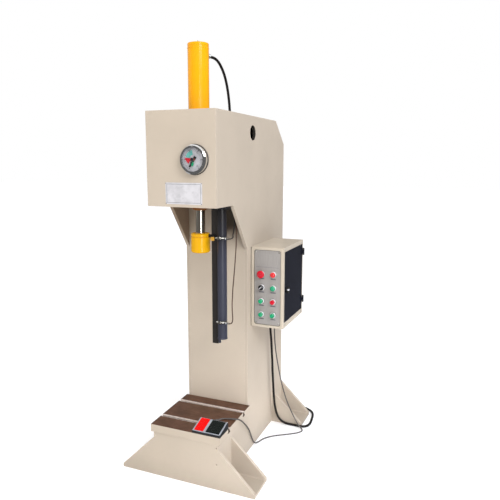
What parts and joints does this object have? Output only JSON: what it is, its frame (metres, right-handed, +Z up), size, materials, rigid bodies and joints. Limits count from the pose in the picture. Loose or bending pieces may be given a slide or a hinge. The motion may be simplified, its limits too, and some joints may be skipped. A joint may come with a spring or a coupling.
{
  "type": "c-frame hydraulic press",
  "caption": "Floor-standing C-frame hydraulic press with a T-slotted table, vertical ram, guide post with sensors, pressure gauge, side control box and twin foot switch.",
  "frame": {"origin": "on the ram's axis, on the floor face of the base", "axes": "+Z up along the ram's axis, +Y from the ram back to the column, +X to the side with the control box"},
  "size_m": [0.7493, 1.2021, 2.02],
  "materials": {
    "cream_paint": "semi-gloss cream paint",
    "yellow_paint": "semi-gloss signal yellow paint",
    "slate_paint": "satin slate blue-grey paint",
    "grey_paint": "satin grey paint",
    "oiled_table": "ground and oiled, brown",
    "plain_steel": "turned",
    "dark_steel": "blackened",
    "hard_chrome": "polished",
    "nickel": "nickel plated",
    "white_plate": "gloss white",
    "silver_panel": "fine brushed, anodised",
    "dark_door": "gloss near-black",
    "clear_glass": "clear",
    "black_plastic": "matt black",
    "red_plastic": "gloss red",
    "green_plastic": "gloss green",
    "lamp_lens": "translucent",
    "grey_plastic": "fine texture",
    "black_rubber": "matt black",
    "brown_lead": "satin brown sheath",
    "grey_lead": "satin grey sheath"
  },
  "bodies": {
    "frame": {"side_plate_left": "cream_paint", "side_plate_right": "cream_paint", "head_front_plate": "cream_paint", "head_top_plate": "cream_paint", "head_bottom_plate": "cream_paint", "column_front_plate": "cream_paint", "rear_plate": "cream_paint", "rear_cover": "cream_paint", "base_front_plate": "cream_paint", "front_feet": "cream_paint", "rear_feet": "cream_paint", "table_plate": "oiled_table", "blank_plate": "white_plate", "cylinder_barrel": "yellow_paint", "cylinder_gland": "yellow_paint", "hex_bolts": "dark_steel", "hose_fittings": "dark_steel", "hydraulic_hose": "black_rubber", "grommets": "black_rubber", "guide_post": "slate_paint", "sensor_upper": "nickel", "sensor_lower": "nickel", "sensor_bands": "nickel", "sensor_lead_upper": "black_rubber", "sensor_lead_lower": "brown_lead", "gauge_case": "hard_chrome", "gauge_dial": "white_plate", "gauge_glass": "clear_glass", "control_box": "cream_paint", "operator_panel": "silver_panel", "hinge_pins": "dark_steel", "control_collars": "hard_chrome", "signal_lamps": "lamp_lens", "switch_gear": "grey_plastic", "cable_glands": "black_plastic", "foot_switch_base": "grey_plastic", "pedal_lead": "grey_lead", "mains_lead": "black_rubber", "mains_coil": "black_rubber", "mains_plug": "red_plastic", "oil_tank": "grey_paint", "power_unit": "grey_paint"},
    "ram": {"piston_rod": "hard_chrome", "piston": "plain_steel", "ram_head": "yellow_paint", "clamp_collar": "yellow_paint", "trip_arm": "dark_steel"},
    "gauge_needle": {"gauge_pointer": "black_plastic"},
    "low_setting": {"low_set_pointer": "green_plastic"},
    "high_setting": {"high_set_pointer": "red_plastic"},
    "emergency_stop": {"e_stop_button": "red_plastic"},
    "selector": {"selector_knob": "black_plastic"},
    "pump_start": {"pump_start_button": "green_plastic"},
    "pump_stop": {"pump_stop_button": "red_plastic"},
    "ram_down": {"ram_down_button": "green_plastic"},
    "ram_up": {"ram_up_button": "green_plastic"},
    "door": {"control_door": "dark_door"},
    "lock": {"door_lock": "dark_steel"},
    "left_pedal": {"red_pedal": "red_plastic"},
    "right_pedal": {"black_pedal": "black_plastic"}
  },
  "joints": [
    {"name": "ram_slide", "type": "slide", "parent": "frame", "child": "ram", "axis": [0, 0, -1], "range_m": [0, 0.4]},
    {"name": "gauge_needle_turn", "type": "hinge", "parent": "frame", "child": "gauge_needle", "pos_m": [0.071, -0.19, 1.51], "axis": [0, 1, 0], "range_deg": [0, 300]},
    {"name": "low_setting_turn", "type": "hinge", "parent": "frame", "child": "low_setting", "pos_m": [0.071, -0.19, 1.51], "axis": [0, 1, 0], "range_deg": [0, 316]},
    {"name": "high_setting_turn", "type": "hinge", "parent": "frame", "child": "high_setting", "pos_m": [0.071, -0.19, 1.51], "axis": [0, 1, 0], "range_deg": [-54, 246]},
    {"name": "emergency_stop_press", "type": "slide", "parent": "frame", "child": "emergency_stop", "axis": [0, 1, 0], "range_m": [0, 0.004]},
    {"name": "selector_turn", "type": "hinge", "parent": "frame", "child": "selector", "pos_m": [0.226, 0.21, 0.881], "axis": [0, 1, 0], "range_deg": [-90, 0]},
    {"name": "pump_start_press", "type": "slide", "parent": "frame", "child": "pump_start", "axis": [0, 1, 0], "range_m": [0, 0.004], "stiffness_N_per_m": 400, "springref_m": -0.003},
    {"name": "pump_stop_press", "type": "slide", "parent": "frame", "child": "pump_stop", "axis": [0, 1, 0], "range_m": [0, 0.004], "stiffness_N_per_m": 400, "springref_m": -0.003},
    {"name": "ram_down_press", "type": "slide", "parent": "frame", "child": "ram_down", "axis": [0, 1, 0], "range_m": [0, 0.004], "stiffness_N_per_m": 400, "springref_m": -0.003},
    {"name": "ram_up_press", "type": "slide", "parent": "frame", "child": "ram_up", "axis": [0, 1, 0], "range_m": [0, 0.004], "stiffness_N_per_m": 400, "springref_m": -0.003},
    {"name": "door_hinge", "type": "hinge", "parent": "frame", "child": "door", "pos_m": [0.346, 0.542, 0.88], "axis": [0, 0, 1], "range_deg": [0, 120]},
    {"name": "lock_turn", "type": "hinge", "parent": "door", "child": "lock", "pos_m": [0.3395, 0.268, 0.868], "axis": [1, 0, 0], "range_deg": [0, 90]},
    {"name": "left_pedal_press", "type": "hinge", "parent": "frame", "child": "left_pedal", "pos_m": [0.07, -0.175, 0.2725], "axis": [-1, 0, 0], "range_deg": [0, 6], "stiffness_Nm_per_rad": 1.5, "springref_deg": -11.46},
    {"name": "right_pedal_press", "type": "hinge", "parent": "frame", "child": "right_pedal", "pos_m": [0.14, -0.175, 0.2725], "axis": [-1, 0, 0], "range_deg": [0, 6], "stiffness_Nm_per_rad": 1.5, "springref_deg": -11.46}
  ]
}
